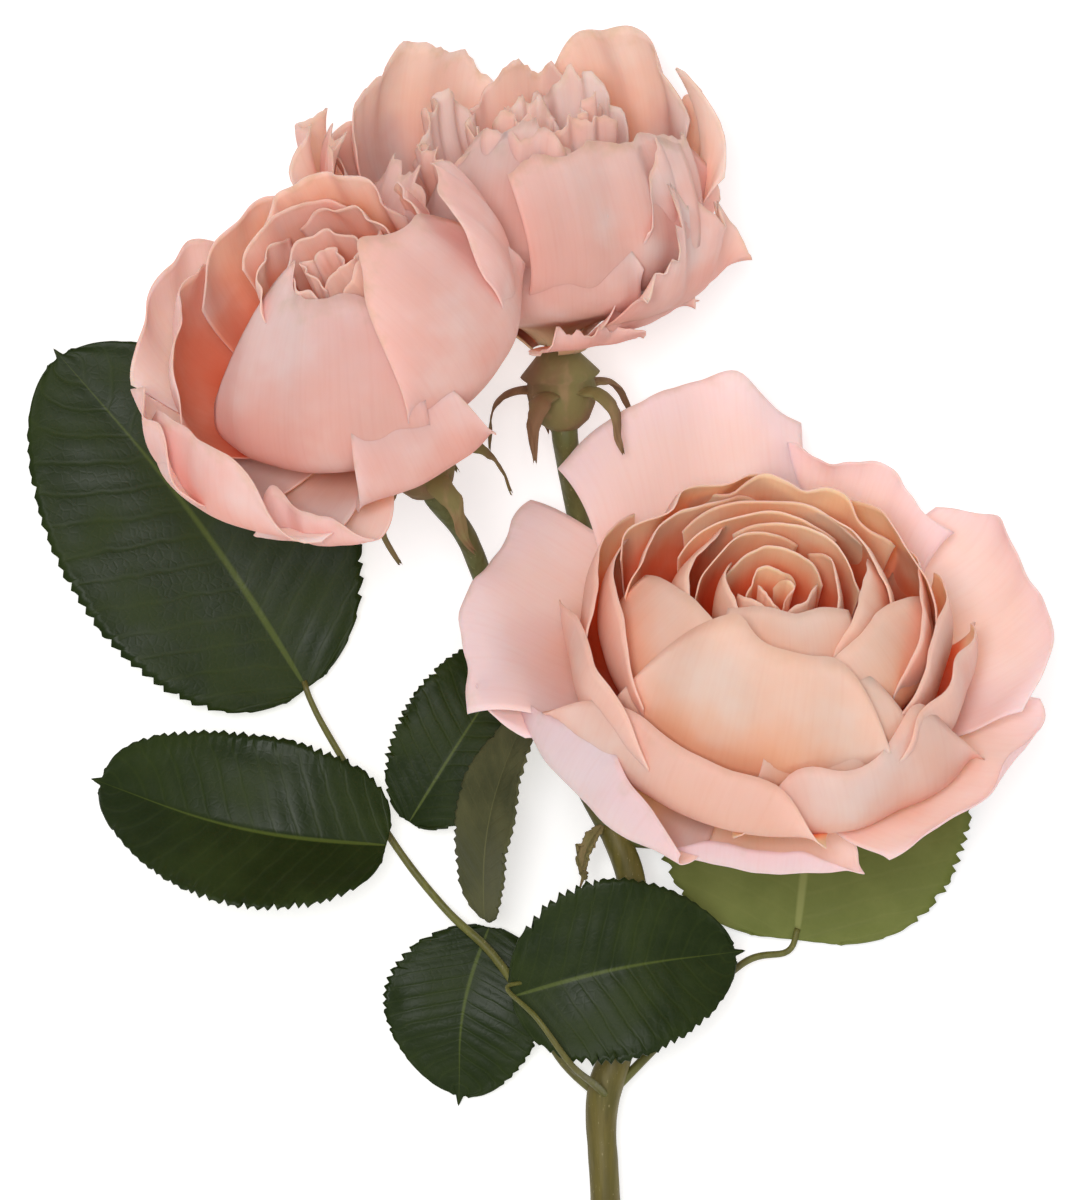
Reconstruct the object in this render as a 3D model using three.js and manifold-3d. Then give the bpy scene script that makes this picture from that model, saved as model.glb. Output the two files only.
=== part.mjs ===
// A cut spray rose lying on a surface: one stem that forks into three stalks, each with a bloom of separate
// petals on a hip with sepals, and two compound leaves. Millimetres, +Z up. The blooms lie towards +Y and the
// cut end of the stem towards -Y.
import * as THREE from 'three';
import { mergeVertices } from 'three/addons/utils/BufferGeometryUtils.js';
import Module from 'manifold-3d';

const wasm = await Module();
wasm.setup();

// ---- Driving dimensions ----
const STEM_LENGTH = 118;          // cut end to the fork of the three flower stalks
const STEM_RADIUS_CUT = 2.9;      // at the cut end
const STEM_RADIUS_FORK = 1.8;     // at the fork
const STALK_RADIUS_MAIN = 1.5;
const STALK_RADIUS_LEFT = 1.3;
const STALK_RADIUS_TOP = 1.4;
const CUT_SLANT = 0.8;            // slope of the cut across the stem
const PETIOLE_RADIUS = 0.9;
const JOINT_GAP = 0.4;            // clearance between pieces that touch
const MAIN_BLOOM_SIZE = 1;        // scale of each bloom's petals and hip
const LEFT_BLOOM_SIZE = 1;
const TOP_BLOOM_SIZE = 1;
const PETAL_THICKNESS = 0.5;
const LEAF_THICKNESS = 0.5;
const SEPAL_THICKNESS = 0.7;
const SEPAL_WIDTH = 4.4;
const HIP_LENGTH = 8;
const HIP_RADIUS = 4.6;
const CONE_HEIGHT = 4.4;          // the cone on the hip that carries the petals
const CONE_RADIUS = 5.2;
const CLAW_STEP = 0.22;           // how far apart successive petals stand along that cone
const HEART_WRAP = 1.5;           // how far a petal may wrap to each side, in radians
const RING_WRAP = 1.45;
const PROFILE_THICKNESS = 0.5;    // petal thickness that the petals' curves are drawn for
const MAIN_BLOOM_REACH = 38;      // how far the guard petals of each bloom stand out from its axis
const LEFT_BLOOM_REACH = 34;
const TOP_BLOOM_REACH = 33;
const GOLDEN_TURN = THREE.MathUtils.degToRad(137.5);

// ---- Materials ----
const green = new THREE.MeshStandardMaterial({ color: 0x3b4a2a, roughness: 0.5, metalness: 0 });
const paleGreen = new THREE.MeshStandardMaterial({ color: 0x6a7444, roughness: 0.6, metalness: 0 });
const bark = new THREE.MeshStandardMaterial({ color: 0x6c6136, roughness: 0.6, metalness: 0 });
const sepalGreen = new THREE.MeshStandardMaterial({ color: 0x7f7040, roughness: 0.7, metalness: 0 });
const pink = new THREE.MeshStandardMaterial({ color: 0xebc4be, roughness: 0.6, metalness: 0 });
const peach = new THREE.MeshStandardMaterial({ color: 0xf2bd9c, roughness: 0.6, metalness: 0 });

const spray = new THREE.Group();

function vec(x, y, z) {
  return new THREE.Vector3(x, y, z);
}

function add(name, geometry, material) {
  geometry.computeVertexNormals();
  const mesh = new THREE.Mesh(geometry, material);
  mesh.name = name;
  spray.add(mesh);
  return mesh;
}

function geometryFrom(points, triangles) {
  const geometry = new THREE.BufferGeometry();
  const positions = points.flatMap((point) => point.toArray());
  geometry.setAttribute('position', new THREE.Float32BufferAttribute(positions, 3));
  geometry.setIndex(triangles);
  return geometry;
}

// ---- Thin blades: petals, leaflets, sepals ----
// A closed solid of even thickness about the middle surface at(u, v), with u from -1 to 1 and v from 0 to 1.
function blade(at, across, along, thickness) {
  const step = 1e-3;
  const front = [];
  const back = [];
  for (let j = 0; j <= along; j += 1) {
    for (let i = 0; i <= across; i += 1) {
      const u = (2 * i) / across - 1;
      const v = j / along;
      const alongU = at(Math.min(u + step, 1), v).sub(at(Math.max(u - step, -1), v));
      const alongV = at(u, Math.min(v + step, 1)).sub(at(u, Math.max(v - step, 0)));
      const normal = alongU.cross(alongV).normalize();
      const middle = at(u, v);
      front.push(middle.clone().addScaledVector(normal, thickness / 2));
      back.push(middle.clone().addScaledVector(normal, -thickness / 2));
    }
  }
  const row = across + 1;
  const under = front.length;
  const triangles = [];
  for (let j = 0; j < along; j += 1) {
    for (let i = 0; i < across; i += 1) {
      const a = j * row + i;
      const b = a + 1;
      const c = a + row + 1;
      const d = a + row;
      triangles.push(a, b, c, a, c, d);
      triangles.push(under + a, under + c, under + b, under + a, under + d, under + c);
    }
  }
  const edge = [];
  for (let i = 0; i < across; i += 1) edge.push(i);
  for (let j = 0; j < along; j += 1) edge.push(j * row + across);
  for (let i = across; i > 0; i -= 1) edge.push(along * row + i);
  for (let j = along; j > 0; j -= 1) edge.push(j * row);
  edge.forEach((a, k) => {
    const b = edge[(k + 1) % edge.length];
    triangles.push(a, under + a, under + b, a, under + b, b);
  });
  return geometryFrom([...front, ...back], triangles);
}

// ---- Round stalks ----
// A closed tapering stalk through the points; slant tilts its first end, as a knife leaves it.
function stalk(points, startRadius, endRadius, rings, slant = 0) {
  const sides = 8;
  const curve = new THREE.CatmullRomCurve3(points);
  const vertices = [];
  const triangles = [];
  for (let j = 0; j <= rings; j += 1) {
    const t = j / rings;
    const centre = curve.getPointAt(t);
    const ahead = curve.getTangentAt(t);
    const right = vec(ahead.y, -ahead.x, 0).normalize();
    const up = right.clone().cross(ahead);
    const radius = THREE.MathUtils.lerp(startRadius, endRadius, t);
    for (let i = 0; i < sides; i += 1) {
      const angle = (2 * Math.PI * i) / sides;
      const vertex = centre.clone().addScaledVector(right, radius * Math.cos(angle));
      vertex.addScaledVector(up, radius * Math.sin(angle));
      if (j === 0) vertex.addScaledVector(ahead, slant * radius * Math.sin(angle));
      vertices.push(vertex);
    }
  }
  for (let j = 0; j < rings; j += 1) {
    for (let i = 0; i < sides; i += 1) {
      const a = j * sides + i;
      const b = j * sides + ((i + 1) % sides);
      triangles.push(a, b + sides, b, a, a + sides, b + sides);
    }
  }
  const last = rings * sides;
  for (let i = 1; i < sides - 1; i += 1) {
    triangles.push(0, i, i + 1);
    triangles.push(last, last + i + 1, last + i);
  }
  return geometryFrom(vertices, triangles);
}

// The point where a stalk of radius own, leaving towards the target, clears a stem of radius stem at the fork.
function besideStem(fork, stemDirection, target, stem, own) {
  const away = target.clone().sub(fork).normalize();
  const sine = Math.max(away.clone().cross(stemDirection).length(), 0.35);
  const cosine = Math.sqrt(1 - sine * sine);
  return fork.clone().addScaledVector(away, (stem + JOINT_GAP + own * cosine) / sine);
}

// ---- Joining solids ----
function toManifold(geometry) {
  const merged = mergeVertices(geometry, 1e-4);
  return new wasm.Manifold(new wasm.Mesh({
    numProp: 3,
    vertProperties: new Float32Array(merged.attributes.position.array),
    triVerts: new Uint32Array(merged.index.array),
  }));
}

function fromManifold(solid) {
  const mesh = solid.getMesh();
  const geometry = new THREE.BufferGeometry();
  geometry.setAttribute('position', new THREE.BufferAttribute(new Float32Array(mesh.vertProperties), 3));
  geometry.setIndex(new THREE.BufferAttribute(new Uint32Array(mesh.triVerts), 1));
  return geometry;
}

// ---- Blooms ----
// A bloom's own frame: origin where the hip ends, up along its axis; angle 0 is right and 90 degrees is back.
function bloomFrame(origin, axis, size) {
  const up = axis.clone().normalize();
  const right = vec(1, 0, 0).addScaledVector(up, -up.x).normalize();
  const back = up.clone().cross(right);
  return { origin, up, right, back, size };
}

function inBloom(frame, radius, height, angle) {
  return frame.origin.clone()
    .addScaledVector(frame.up, height * frame.size)
    .addScaledVector(frame.right, radius * Math.cos(angle) * frame.size)
    .addScaledVector(frame.back, radius * Math.sin(angle) * frame.size);
}

function cubic(a, b, c, d, t) {
  const s = 1 - t;
  return s * s * s * a + 3 * s * s * t * b + 3 * s * t * t * c + t * t * t * d;
}

// A petal rises from its claw on the hip's cone, swells to its belly and ends at its rim.
// level counts petals outwards from the heart, lean is how upright the claw starts, in degrees.
// Thicker petals stand further out, each by twice the thickness that the petals inside it gained.
function petalPoint(frame, petal, u, v) {
  const along = v * (1 - petal.round * Math.abs(u) ** 2.5 * v);
  const clawRadius = 1.1 + CLAW_STEP * petal.level;
  const clawHeight = CONE_HEIGHT + 0.6 - CLAW_STEP * petal.level;
  const lean = THREE.MathUtils.degToRad(petal.lean);
  const reach = 0.42 * petal.belly + 3;
  const gained = 2 * petal.level * (PETAL_THICKNESS - PROFILE_THICKNESS);
  const belly = petal.belly + gained;
  const rim = petal.rim + gained;
  const radius = cubic(clawRadius, clawRadius + reach * Math.cos(lean), belly, rim, along);
  const height = cubic(clawHeight, clawHeight + reach * Math.sin(lean), petal.bellyHeight, petal.top, along);
  const spread = 0.13 + 0.87 * Math.sin(0.5 * Math.PI * Math.min(along / 0.62, 1)) ** 1.6;
  const angle = petal.angle + u * petal.wrap * Math.tanh((petal.width * spread) / radius / petal.wrap);
  return inBloom(frame, radius + petal.lap * u * along, height, angle);
}

function addPetals(prefix, frame, petals, material) {
  petals.forEach((petal, k) => {
    const at = (u, v) => petalPoint(frame, petal, u, v);
    const name = `${prefix}_${String(k + 1).padStart(2, '0')}`;
    add(name, blade(at, 6, 6, PETAL_THICKNESS), material);
  });
}

// The petals of one closed ring or heart, evenly graded from the inner values to the outer ones.
function spiral(count, firstLevel, firstAngle, wrap, inner, outer) {
  return Array.from({ length: count }, (_, k) => {
    const petal = { level: firstLevel + k, angle: firstAngle + k * GOLDEN_TURN, wrap, round: 0.12 };
    Object.keys(inner).forEach((key) => {
      petal[key] = THREE.MathUtils.lerp(inner[key], outer[key], k / (count - 1));
    });
    return petal;
  });
}

// A petal set by hand, at its own angle in degrees.
function guard(level, degrees, values) {
  const angle = THREE.MathUtils.degToRad(degrees);
  return { level, angle, lap: 0.5, round: 0.16, lean: 35, wrap: RING_WRAP, ...values };
}

// The hip with its cone and five sepals, grown as one piece; each sepal bends to its own tip.
function calyx(frame, sepals) {
  const profile = [
    [0, -HIP_LENGTH],
    [0.42 * HIP_RADIUS, -HIP_LENGTH],
    [0.88 * HIP_RADIUS, -0.66 * HIP_LENGTH],
    [HIP_RADIUS, -0.34 * HIP_LENGTH],
    [CONE_RADIUS, -1],
    [CONE_RADIUS, -0.6],
    [0.9, CONE_HEIGHT - 0.4],
    [0, CONE_HEIGHT - 0.4],
  ].map(([radius, height]) => new THREE.Vector2(radius * frame.size, height * frame.size));
  const hip = new THREE.LatheGeometry(profile, 12);
  hip.deleteAttribute('normal');
  hip.deleteAttribute('uv');
  const turn = new THREE.Matrix4().makeBasis(frame.right, frame.up, frame.back.clone().negate());
  hip.applyMatrix4(turn.setPosition(frame.origin));
  let solid = toManifold(hip);
  sepals.forEach((sepal) => {
    const at = (u, v) => {
      const radius = cubic(0.6 * HIP_RADIUS, CONE_RADIUS + 1.5, sepal.out, sepal.tipRadius, v);
      const height = cubic(-2.2, -1.8, sepal.rise, sepal.tipHeight, v);
      const half = 0.5 * SEPAL_WIDTH * (1 - v) ** 0.8 + 0.25;
      const angle = THREE.MathUtils.degToRad(sepal.angle) + (u * half) / Math.max(radius, 2.5);
      return inBloom(frame, radius, height - 0.5 * u * u, angle);
    };
    solid = solid.add(toManifold(blade(at, 2, 6, SEPAL_THICKNESS)));
  });
  return fromManifold(solid);
}

// ---- Leaflets ----
// A leaflet from base to tip: face points where its upper side looks, fold lifts both halves, arch bows it.
function leaflet(base, tip, face, width, { fold = 0.15, arch = 2, blunt = 0.55 } = {}) {
  const length = tip.clone().sub(base).length();
  const ahead = tip.clone().sub(base).normalize();
  const side = ahead.clone().cross(face).normalize().negate();
  const normal = ahead.clone().cross(side);
  const at = (u, v) => {
    const half = 0.5 * width * Math.sin(Math.PI * Math.min(Math.max(v, 0.005), 0.994) ** 0.85) ** blunt;
    return base.clone()
      .addScaledVector(ahead, v * length)
      .addScaledVector(side, u * half)
      .addScaledVector(normal, fold * Math.abs(u) * half + arch * Math.sin(Math.PI * v) - arch * v * v);
  };
  return blade(at, 4, 8, LEAF_THICKNESS);
}

// ---- Stem and stalks ----
const fork = vec(9.6, -29, 8);
const stemPath = [
  vec(12, fork.y - STEM_LENGTH, 2.6),
  vec(10.5, fork.y - 0.72 * STEM_LENGTH, 2.7),
  vec(9, fork.y - 0.42 * STEM_LENGTH, 3.4),
  vec(8.6, fork.y - 0.31 * STEM_LENGTH, 4.4),
  vec(11.6, fork.y - 0.22 * STEM_LENGTH, 5.6),
  vec(12.6, fork.y - 0.08 * STEM_LENGTH, 7.4),
  fork,
];
const stemDirection = fork.clone().sub(stemPath[5]).normalize();
add('main_stem', stalk(stemPath, STEM_RADIUS_CUT, STEM_RADIUS_FORK, 22, CUT_SLANT), bark);

// A bloom that is larger than 1 moves away from its neighbours and up from the leaves, by what its reach gains.
const mainGain = MAIN_BLOOM_REACH * (MAIN_BLOOM_SIZE - 1);
const leftGain = LEFT_BLOOM_REACH * (LEFT_BLOOM_SIZE - 1);
const topGain = TOP_BLOOM_REACH * (TOP_BLOOM_SIZE - 1);
const mainOrigin = vec(28.2 + mainGain, -17.4 - 1.25 * mainGain, 16 + 0.3 * mainGain);
const leftOrigin = vec(-16 - leftGain, 20, 29 + 0.8 * leftGain);
const topOrigin = vec(3, 30 + topGain, 16);
const mainBloom = bloomFrame(mainOrigin, vec(0.1, 0.68, 0.726), MAIN_BLOOM_SIZE);
const leftBloom = bloomFrame(leftOrigin, vec(-0.33, 0.71, 0.62), LEFT_BLOOM_SIZE);
const topBloom = bloomFrame(topOrigin, vec(-0.08, 0.97, 0.22), TOP_BLOOM_SIZE);

// The point under a hip where its stalk ends.
function hipFoot(frame) {
  return inBloom(frame, 0, -HIP_LENGTH - JOINT_GAP / frame.size, 0);
}

function addStalk(name, frame, radius, first, bends) {
  const foot = hipFoot(frame);
  const lead = foot.clone().addScaledVector(frame.up, -2.5);
  const start = besideStem(fork, stemDirection, first, STEM_RADIUS_FORK, radius);
  add(name, stalk([start, first, ...bends, lead, foot], radius, radius * 1.15, 12), bark);
}

const mainBend = vec(19 + 0.5 * mainGain, -30.5 - 0.9 * mainGain, 7);
addStalk('stalk_main_bloom', mainBloom, STALK_RADIUS_MAIN, mainBend, []);
addStalk('stalk_left_bloom', leftBloom, STALK_RADIUS_LEFT, vec(2, -16, 8), [vec(-5, -2, 11), vec(-9, 8, 18)]);
addStalk('stalk_top_bloom', topBloom, STALK_RADIUS_TOP, vec(9.4, -14, 6.5), [vec(7.4, 2, 6), vec(5.2, 12, 7)]);

// ---- Main bloom: open, facing up ----
const heartInner = { belly: 2.2, bellyHeight: 20, rim: 2.2, top: 33, width: 5, lean: 85, lap: 0.2 };
const heartOuter = { belly: 9.5, bellyHeight: 19, rim: 8.2, top: 34, width: 12, lean: 80, lap: 0.3 };
const ballInner = { belly: 15, bellyHeight: 18, rim: 10.5, top: 33, width: 17, lean: 72, lap: 0.3 };
const ballOuter = { belly: 23, bellyHeight: 16, rim: 15.5, top: 31, width: 20, lean: 60, lap: 0.4 };
const cupInner = { belly: 26, bellyHeight: 14, rim: 18, top: 30, width: 21, lean: 54, lap: 0.5 };
const cupOuter = { belly: 32, bellyHeight: 11, rim: 23.5, top: 27, width: 23, lean: 44, lap: 0.5 };
const mainGuards = [
  guard(13, 112, { belly: 35, bellyHeight: 9, rim: 35, top: 29, width: 19 }),
  guard(14, 18, { belly: 36, bellyHeight: 8, rim: 35, top: 22, width: 20 }),
  guard(15, 168, { belly: 37, bellyHeight: 7, rim: 36, top: 17, width: 18 }),
  guard(16, 318, { belly: 38, bellyHeight: 6, rim: 35, top: 15, width: 19 }),
  guard(17, 222, { belly: 39, bellyHeight: 4, rim: 33, top: 14, width: 16 }),
  guard(18, 270, { belly: 36, bellyHeight: 2, rim: 31, top: 9, width: 14 }),
  guard(19, 66, { belly: 38, bellyHeight: 4, rim: 36, top: 18, width: 16 }),
];
addPetals('main_heart', mainBloom, spiral(4, 0, 0.4, HEART_WRAP, heartInner, heartOuter), peach);
addPetals('main_ball', mainBloom, spiral(4, 4, 4.6, RING_WRAP, ballInner, ballOuter), peach);
addPetals('main_cup', mainBloom, spiral(5, 8, 3.6, RING_WRAP, cupInner, cupOuter), peach);
addPetals('main_guard', mainBloom, mainGuards, pink);
add('main_calyx', calyx(mainBloom, [0, 72, 144, 216, 288].map((angle) => (
  { angle: angle + 20, out: 9, rise: -3, tipRadius: 7, tipHeight: -11 }
))), sepalGreen);

// ---- Left bloom: half open, leaning to the left ----
const leftHeartInner = { belly: 2.4, bellyHeight: 22, rim: 2.4, top: 35, width: 5, lean: 85, lap: 0.2 };
const leftHeartOuter = { belly: 12, bellyHeight: 20, rim: 8, top: 36, width: 13, lean: 78, lap: 0.3 };
const leftGuards = [
  guard(4, 262, { belly: 20, bellyHeight: 17, rim: 10.5, top: 33, width: 18, lean: 64 }),
  guard(5, 100, { belly: 21, bellyHeight: 17, rim: 14, top: 36, width: 17, lean: 62 }),
  guard(6, 350, { belly: 25, bellyHeight: 15, rim: 15, top: 36, width: 18, lean: 58 }),
  guard(7, 190, { belly: 27, bellyHeight: 13, rim: 20, top: 30, width: 18, lean: 52 }),
  guard(8, 116, { belly: 29, bellyHeight: 12, rim: 21, top: 30, width: 11, lean: 48 }),
  guard(9, 294, { belly: 32, bellyHeight: 5, rim: 18, top: 24, width: 16, lean: 38 }),
  guard(10, 209, { belly: 34, bellyHeight: 8, rim: 27, top: 24, width: 21, lean: 40 }),
];
addPetals('left_heart', leftBloom, spiral(3, 0, 1.2, HEART_WRAP, leftHeartInner, leftHeartOuter), peach);
addPetals('left_guard', leftBloom, leftGuards, pink);
add('left_calyx', calyx(leftBloom, [0, 72, 144, 216, 288].map((angle) => (
  { angle: angle + 8, out: 10, rise: -2, tipRadius: 9, tipHeight: -13 }
))), sepalGreen);

// ---- Top bloom: the oldest, wide open and ragged ----
const topHeartInner = { belly: 4, bellyHeight: 20, rim: 5, top: 36, width: 7, lean: 85, lap: 0.2 };
const topHeartOuter = { belly: 12, bellyHeight: 20, rim: 13, top: 38, width: 13, lean: 76, lap: 0.3 };
const topGuards = [
  guard(4, 288, { belly: 19, bellyHeight: 18, rim: 16, top: 33, width: 15, lean: 62 }),
  guard(5, 55, { belly: 21, bellyHeight: 18, rim: 20, top: 40, width: 16, lean: 60 }),
  guard(6, 150, { belly: 24, bellyHeight: 18, rim: 24, top: 41, width: 15, lean: 56 }),
  guard(7, 325, { belly: 27, bellyHeight: 13, rim: 20, top: 29, width: 12.5, lean: 50 }),
  guard(8, 24, { belly: 32, bellyHeight: 11, rim: 26, top: 35, width: 10.5, lean: 42 }),
  guard(9, 88, { belly: 26, bellyHeight: 7, rim: 17.5, top: 22, width: 12, lean: 38 }),
  guard(10, 162, { belly: 33, bellyHeight: 9, rim: 32, top: 31, width: 11, lean: 40 }),
  guard(11, 312, { belly: 31, bellyHeight: 5, rim: 23, top: 17, width: 10, lean: 36 }),
];
addPetals('top_heart', topBloom, spiral(3, 1, 2.0, HEART_WRAP, topHeartInner, topHeartOuter), peach);
addPetals('top_guard', topBloom, topGuards, pink);
add('top_calyx', calyx(topBloom, [0, 72, 144, 216, 288].map((angle) => (
  { angle: angle + 30, out: 10, rise: -2, tipRadius: 10, tipHeight: -10 }
))), sepalGreen);

// ---- Leaves ----
const leafNode = stemPath[3];
const petioleA = [
  vec(-5.4, -44.5, 3.4),
  vec(-11.9, -40.4, 2.6),
  vec(-18.5, -32, 2.4),
  vec(-27, -18, 2.2),
  vec(-29.6, -13, 2),
];
const stemAtLeaf = stemPath[4].clone().sub(stemPath[2]).normalize();
const stemRadiusAtLeaf = 0.5 * (STEM_RADIUS_CUT + STEM_RADIUS_FORK);
const startA = besideStem(leafNode, stemAtLeaf, vec(0.5, -53, 4), stemRadiusAtLeaf, PETIOLE_RADIUS);
add('leaf_a_petiole', stalk([startA, ...petioleA], PETIOLE_RADIUS, 0.6 * PETIOLE_RADIUS, 12), paleGreen);
const flat = { arch: 1.2, fold: 0.04 };
const folded = { fold: 0.45 };
add('leaf_a_end', leaflet(vec(-30.1, -11.6, 1.6), vec(-62.5, 32, 1.3), vec(0.1, 0, 1), 37, flat), green);
add('leaf_a_lower', leaflet(vec(-21.4, -31, 7.2), vec(-57, -21.3, 6), vec(0, 0.8, 1), 24, folded), green);
add('leaf_a_inner', leaflet(vec(-16.6, -29, 3.4), vec(0, -3, 2.4), vec(-0.1, 0, 1), 17), green);
add('leaf_a_base_left', leaflet(vec(-9.4, -46.1, 1.4), vec(-9.8, -65.5, 1.8), vec(0, 0, 1), 18, flat), green);
add('leaf_a_base_right', leaflet(vec(-6.6, -41.6, 7.6), vec(-2.4, -13, 14.5), vec(-1.6, 0, 1), 13), green);

const petioleB = [
  vec(18, -56, 3),
  vec(27, -47.5, 2.2),
  vec(32.8, -46, 1.4),
];
const startB = besideStem(leafNode, stemAtLeaf, petioleB[0], stemRadiusAtLeaf, PETIOLE_RADIUS);
add('leaf_b_petiole', stalk([startB, ...petioleB], PETIOLE_RADIUS, 0.6 * PETIOLE_RADIUS, 10), paleGreen);
const sidePetiole = [vec(7.6, -63, 10), vec(4.4, -60, 16.4), vec(0, -54, 17.8), vec(-3.8, -50.4, 14.2)];
const startSide = besideStem(leafNode, stemAtLeaf, sidePetiole[0], stemRadiusAtLeaf, PETIOLE_RADIUS);
const sideStalk = stalk([startSide, ...sidePetiole], 0.8 * PETIOLE_RADIUS, 0.6 * PETIOLE_RADIUS, 8);
add('leaf_b_side_petiole', sideStalk, paleGreen);
add('leaf_b_side', leaflet(vec(-2.2, -49.6, 12), vec(26.5, -50.5, 11), vec(0, 0, 1), 23), green);
add('leaf_b_end', leaflet(vec(34, -44, 0.8), vec(39, 0, 1.2), vec(0, 0, 1), 41, flat), green);

// The narrow bract that hangs at the fork.
const bractBase = fork.clone().add(vec(-STEM_RADIUS_FORK - 1.2, -1, 0));
add('bract', leaflet(bractBase, bractBase.clone().add(vec(-1.6, -9, -1)), vec(-1, 0, 1), 3), sepalGreen);

// ---- Origin: bottom centre of the box around everything ----
const box = new THREE.Box3().setFromObject(spray);
const centre = box.getCenter(new THREE.Vector3());
const object = new THREE.Group();
spray.position.set(-centre.x, -centre.y, -box.min.z);
object.add(spray);
object.updateMatrixWorld(true);

export default object;
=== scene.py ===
"""A cut spray rose lying on a pale surface: one woody stem that forks into three flower stalks, two
compound leaves, and three blooms of separate petals in salmon pink and peach."""

import math

import bmesh
import bpy
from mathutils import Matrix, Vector, noise


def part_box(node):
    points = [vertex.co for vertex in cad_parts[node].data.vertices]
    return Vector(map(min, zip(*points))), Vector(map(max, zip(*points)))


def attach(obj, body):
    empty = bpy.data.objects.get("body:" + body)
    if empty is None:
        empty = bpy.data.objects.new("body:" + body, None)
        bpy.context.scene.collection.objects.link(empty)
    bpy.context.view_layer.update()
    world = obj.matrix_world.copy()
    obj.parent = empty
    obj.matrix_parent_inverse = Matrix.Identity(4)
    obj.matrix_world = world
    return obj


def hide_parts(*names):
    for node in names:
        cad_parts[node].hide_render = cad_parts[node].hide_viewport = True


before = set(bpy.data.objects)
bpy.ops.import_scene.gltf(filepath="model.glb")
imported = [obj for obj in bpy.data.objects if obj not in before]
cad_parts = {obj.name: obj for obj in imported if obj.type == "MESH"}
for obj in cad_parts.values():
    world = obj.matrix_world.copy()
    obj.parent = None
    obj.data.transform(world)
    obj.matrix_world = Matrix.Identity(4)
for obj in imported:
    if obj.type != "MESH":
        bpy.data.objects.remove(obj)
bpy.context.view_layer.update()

# ---- Main stem ----
# The woody stem of the spray: olive green bark with brown streaks and small pores, a knife cut at its foot
# and a swollen node near the leaf stalks. Its place in the frame gives the zero that all pieces are set from.
MM = 0.001
STEM_BOX_FROM_ZERO = Vector((6.312, -149.31, -0.302)) * MM
STEM_LENGTH = 118
STEM_RADIUS_CUT = 2.9
STEM_RADIUS_FORK = 1.8
CUT_SLANT = 0.8
FINE_STEPS = 16
BARK_PORE = (0.33, 0.27, 0.12, 1)
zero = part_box("main_stem")[0] - STEM_BOX_FROM_ZERO
fork = Vector((9.6, -29, 8))
stem_points = [
    Vector((12, fork.y - STEM_LENGTH, 2.6)),
    Vector((10.5, fork.y - 0.72 * STEM_LENGTH, 2.7)),
    Vector((9, fork.y - 0.42 * STEM_LENGTH, 3.4)),
    Vector((8.6, fork.y - 0.31 * STEM_LENGTH, 4.4)),
    Vector((11.6, fork.y - 0.22 * STEM_LENGTH, 5.6)),
    Vector((12.6, fork.y - 0.08 * STEM_LENGTH, 7.4)),
    fork,
]


def smooth_path(points, count):
    """count + 1 points spread evenly along a smooth curve through the given ones, each with its direction."""
    ends = [2 * points[0] - points[1], *points, 2 * points[-1] - points[-2]]
    fine = []
    for a, b, c, d in zip(ends, ends[1:], ends[2:], ends[3:]):
        for step in range(FINE_STEPS):
            t = step / FINE_STEPS
            bend = (3 * b - a - 3 * c + d) * t * t * t + (2 * a - 5 * b + 4 * c - d) * t * t + (c - a) * t
            fine.append(b + 0.5 * bend)
    fine.append(points[-1])
    run = [0]
    for a, b in zip(fine, fine[1:]):
        run.append(run[-1] + (b - a).length)
    path, k = [], 0
    for i in range(count + 1):
        target = run[-1] * i / count
        while k < len(run) - 2 and run[k + 1] < target:
            k += 1
        share = (target - run[k]) / (run[k + 1] - run[k])
        path.append((fine[k].lerp(fine[k + 1], share), (fine[k + 1] - fine[k]).normalized()))
    return path


def grow_tube(bm, path, radius_at, sides=14, slant=0.0):
    """A closed round stalk along the path, made by extruding its end face from ring to ring."""
    ring = bmesh.ops.create_circle(bm, cap_ends=True, segments=sides, radius=1)["verts"]
    face = ring[0].link_faces[0]
    for i, (centre, ahead) in enumerate(path):
        if i:
            grown = bmesh.ops.extrude_face_region(bm, geom=[face])["geom"]
            old = face
            face = next(g for g in grown if isinstance(g, bmesh.types.BMFace))
            if i > 1:
                bmesh.ops.delete(bm, geom=[old], context="FACES_ONLY")
        side = Vector((ahead.y, -ahead.x, 0)).normalized()
        up = side.cross(ahead)
        share = i / (len(path) - 1)
        for k, vert in enumerate(face.verts):
            turn = 2 * math.pi * k / sides
            reach = radius_at(share) * (1 + 0.05 * noise.noise(centre * 0.35 + up * math.sin(turn) * 2))
            lean = slant * reach * math.sin(turn) if i == 0 else 0
            place = centre + side * reach * math.cos(turn) + up * reach * math.sin(turn) + ahead * lean
            vert.co = zero + place * MM


def finish_piece(name, bm, materials, nodes=(), thickness=0.0):
    """Turns the bmesh into a piece that rides on the object and the nodes it stands for.
    A sheet gets a wall, whose underside takes the last of the materials."""
    if not thickness:
        bmesh.ops.recalc_face_normals(bm, faces=bm.faces)
    for face in bm.faces:
        face.smooth = True
    mesh = bpy.data.meshes.new(name)
    bm.to_mesh(mesh)
    bm.free()
    piece = bpy.data.objects.new(name, mesh)
    bpy.context.scene.collection.objects.link(piece)
    for material in materials:
        mesh.materials.append(material)
    if thickness:
        wall = piece.modifiers.new("wall", "SOLIDIFY")
        wall.thickness = thickness * MM
        wall.offset = 0
        wall.material_offset = len(materials) - 1
    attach(piece, "root")
    for node in nodes:
        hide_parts(node)
    return piece


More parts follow.
